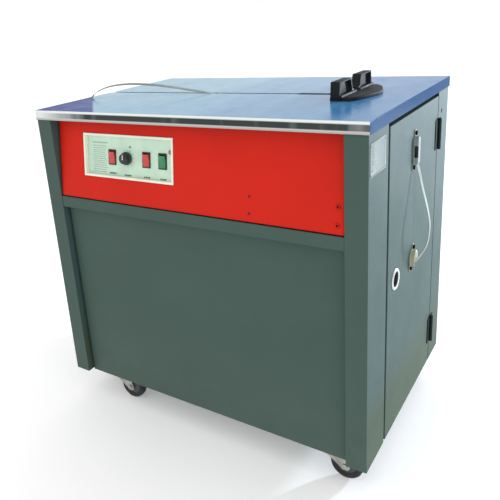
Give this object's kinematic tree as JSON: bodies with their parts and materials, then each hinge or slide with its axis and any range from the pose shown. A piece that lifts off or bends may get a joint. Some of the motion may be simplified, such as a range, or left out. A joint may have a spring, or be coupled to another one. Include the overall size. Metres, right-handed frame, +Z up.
{
  "type": "semi automatic strapping machine",
  "caption": "Floor-standing strapping machine: slotted stainless table on a steel cabinet with swivel casters, control fascia, side door, strapping head and strap reel.",
  "frame": {"origin": "middle of the whole footprint, strap loop and lid hinges included, on the floor", "axes": "+X along the strap slot towards the door side, +Y from the control side to the back, +Z up"},
  "size_m": [0.885, 0.581, 0.865],
  "materials": {
    "painted_steel": "satin grey-green powder coat",
    "red_steel": "satin red powder coat",
    "table_steel": "stainless sheet under a blue protective film",
    "black_plastic": "moulded black plastic",
    "cream_plastic": "moulded cream plastic",
    "silver_plastic": "moulded pale plastic",
    "panel_face": "pale control face",
    "zinc_steel": "bright zinc plate",
    "machine_steel": "machined steel",
    "chrome": "bright chrome",
    "switch_red": "translucent red rocker",
    "switch_green": "translucent green rocker",
    "cast_alloy": "die cast",
    "motor_grey": "grey enamel",
    "copper_core": "varnished core and windings",
    "circuit": "circuit board",
    "strap_plastic": "embossed polypropylene strap",
    "reel_plastic": "moulded black plastic",
    "belt_rubber": "rubber V-belt",
    "cord_rubber": "black rubber cord",
    "wheel_rubber": "black rubber tyre on a black hub",
    "brass_blade": "bare brass",
    "ferrite": "magnet in a plastic case",
    "name_alloy": "blank brushed plate"
  },
  "bodies": {
    "root": {"main_frame": "painted_steel", "base_plate": "painted_steel", "front_table": "table_steel", "lid_hinge_base_leaves": "zinc_steel", "control_fascia": "red_steel", "control_bezel": "cream_plastic", "control_face_plate": "panel_face", "switch_housings": "black_plastic", "timer_potentiometer": "machine_steel", "lower_front_panel": "painted_steel", "left_side_panel": "painted_steel", "rear_panel": "painted_steel", "door_hinge_post_leaves": "painted_steel", "door_magnet": "ferrite", "nameplate": "name_alloy", "strap_tail": "strap_plastic", "head_frame": "machine_steel", "gearbox": "cast_alloy", "drive_motor": "motor_grey", "drive_belt": "belt_rubber", "feed_motor": "motor_grey", "reel_bracket": "machine_steel", "transformer": "copper_core", "control_board": "circuit", "power_cord": "cord_rubber", "caster_plates": "zinc_steel"},
    "rear_lid": {"rear_table": "table_steel", "strap_guide_block": "black_plastic", "lid_hinge_flap_leaves": "zinc_steel"},
    "door": {"side_door": "painted_steel", "door_hinge_door_leaves": "painted_steel", "door_pull_ring": "chrome", "upper_strap_eyelet": "silver_plastic", "lower_strap_scoop": "cream_plastic", "door_guide_screws": "machine_steel", "strap_loop": "strap_plastic"},
    "power_switch": {"power_rocker": "switch_red"},
    "feed_switch": {"feed_rocker": "switch_red"},
    "reset_switch": {"reset_rocker": "switch_green"},
    "timer": {"timer_knob": "black_plastic"},
    "reel": {"reel_drum": "reel_plastic", "strap_coil": "strap_plastic"},
    "drive_pulley": {"gearbox_pulley": "cast_alloy"},
    "motor_rotor": {"motor_pulley": "cast_alloy"},
    "cams": {"camshaft": "machine_steel"},
    "left_gripper": {"left_gripper": "machine_steel"},
    "right_gripper": {"right_gripper": "machine_steel"},
    "press": {"press_head": "machine_steel"},
    "anvil": {"slide_anvil": "machine_steel"},
    "heater": {"heater_blade": "brass_blade"},
    "feed_drive": {"feed_roller": "machine_steel"},
    "feed_idler": {"pressure_roller": "machine_steel"},
    "swivel_front_left": {"caster_fork_front_left": "zinc_steel"},
    "wheel_front_left": {"caster_wheel_front_left": "wheel_rubber"},
    "swivel_front_right": {"caster_fork_front_right": "zinc_steel"},
    "wheel_front_right": {"caster_wheel_front_right": "wheel_rubber"},
    "swivel_rear_left": {"caster_fork_rear_left": "zinc_steel"},
    "wheel_rear_left": {"caster_wheel_rear_left": "wheel_rubber"},
    "swivel_rear_right": {"caster_fork_rear_right": "zinc_steel"},
    "wheel_rear_right": {"caster_wheel_rear_right": "wheel_rubber"}
  },
  "joints": [
    {"name": "lid_hinge", "type": "hinge", "parent": "root", "child": "rear_lid", "pos_m": [-0.0175, 0.2865, 0.796], "axis": [-1, 0, 0], "range_deg": [0, 100]},
    {"name": "door_hinge", "type": "hinge", "parent": "root", "child": "door", "pos_m": [0.4095, 0.192, 0.436], "axis": [0, 0, 1], "range_deg": [0, 110]},
    {"name": "power_press", "type": "hinge", "parent": "root", "child": "power_switch", "pos_m": [-0.224, -0.25943, 0.71214], "axis": [-1, 0, 0], "range_deg": [0, 16]},
    {"name": "feed_press", "type": "hinge", "parent": "root", "child": "feed_switch", "pos_m": [-0.1195, -0.25943, 0.71214], "axis": [-1, 0, 0], "range_deg": [0, 16]},
    {"name": "reset_press", "type": "hinge", "parent": "root", "child": "reset_switch", "pos_m": [-0.0725, -0.25943, 0.71214], "axis": [-1, 0, 0], "range_deg": [0, 16]},
    {"name": "timer_turn", "type": "hinge", "parent": "root", "child": "timer", "pos_m": [-0.1775, -0.27034, 0.71357], "axis": [0, -0.9914, 0.1305], "range_deg": [-150, 150]},
    {"name": "reel_spin", "type": "hinge", "parent": "root", "child": "reel", "pos_m": [0.2575, -0.003, 0.29], "axis": [1, 0, 0], "continuous": true},
    {"name": "gearbox_pulley_spin", "type": "hinge", "parent": "root", "child": "drive_pulley", "pos_m": [-0.1125, -0.003, 0.65], "axis": [1, 0, 0], "continuous": true},
    {"name": "motor_spin", "type": "hinge", "parent": "root", "child": "motor_rotor", "pos_m": [-0.1125, -0.003, 0.45], "axis": [1, 0, 0], "continuous": true},
    {"name": "camshaft_spin", "type": "hinge", "parent": "root", "child": "cams", "pos_m": [0.1575, -0.003, 0.65], "axis": [1, 0, 0], "continuous": true},
    {"name": "feed_roller_spin", "type": "hinge", "parent": "root", "child": "feed_drive", "pos_m": [0.2975, -0.003, 0.7], "axis": [0, 1, 0], "continuous": true},
    {"name": "pressure_roller_spin", "type": "hinge", "parent": "root", "child": "feed_idler", "pos_m": [0.2975, -0.003, 0.741], "axis": [0, 1, 0], "continuous": true},
    {"name": "left_gripper_rise", "type": "slide", "parent": "root", "child": "left_gripper", "axis": [0, 0, 1], "range_m": [0, 0.004]},
    {"name": "right_gripper_rise", "type": "slide", "parent": "root", "child": "right_gripper", "axis": [0, 0, 1], "range_m": [0, 0.004]},
    {"name": "press_rise", "type": "slide", "parent": "root", "child": "press", "axis": [0, 0, 1], "range_m": [0, 0.004]},
    {"name": "anvil_retract", "type": "slide", "parent": "root", "child": "anvil", "axis": [0, 1, 0], "range_m": [0, 0.025]},
    {"name": "heater_swing", "type": "hinge", "parent": "root", "child": "heater", "pos_m": [0.1325, 0.059, 0.8], "axis": [0, 0, 1], "range_deg": [0, 20]},
    {"name": "front_left_swivel", "type": "hinge", "parent": "root", "child": "swivel_front_left", "pos_m": [-0.3235, -0.2255, 0.076], "axis": [0, 0, 1], "continuous": true},
    {"name": "front_left_wheel_spin", "type": "hinge", "parent": "swivel_front_left", "child": "wheel_front_left", "pos_m": [-0.2855, -0.2255, 0.0375], "axis": [0, 1, 0], "continuous": true},
    {"name": "front_right_swivel", "type": "hinge", "parent": "root", "child": "swivel_front_right", "pos_m": [0.3025, -0.2255, 0.076], "axis": [0, 0, 1], "continuous": true},
    {"name": "front_right_wheel_spin", "type": "hinge", "parent": "swivel_front_right", "child": "wheel_front_right", "pos_m": [0.3405, -0.2255, 0.0375], "axis": [0, 1, 0], "continuous": true},
    {"name": "rear_left_swivel", "type": "hinge", "parent": "root", "child": "swivel_rear_left", "pos_m": [-0.3235, 0.2195, 0.076], "axis": [0, 0, 1], "continuous": true},
    {"name": "rear_left_wheel_spin", "type": "hinge", "parent": "swivel_rear_left", "child": "wheel_rear_left", "pos_m": [-0.2855, 0.2195, 0.0375], "axis": [0, 1, 0], "continuous": true},
    {"name": "rear_right_swivel", "type": "hinge", "parent": "root", "child": "swivel_rear_right", "pos_m": [0.3025, 0.2195, 0.076], "axis": [0, 0, 1], "continuous": true},
    {"name": "rear_right_wheel_spin", "type": "hinge", "parent": "swivel_rear_right", "child": "wheel_rear_right", "pos_m": [0.3405, 0.2195, 0.0375], "axis": [0, 1, 0], "continuous": true}
  ],
  "couplings": [
    {"joint": "motor_spin", "follows": "gearbox_pulley_spin", "ratio": 1.9434},
    {"joint": "pressure_roller_spin", "follows": "feed_roller_spin", "ratio": -1.2222}
  ]
}
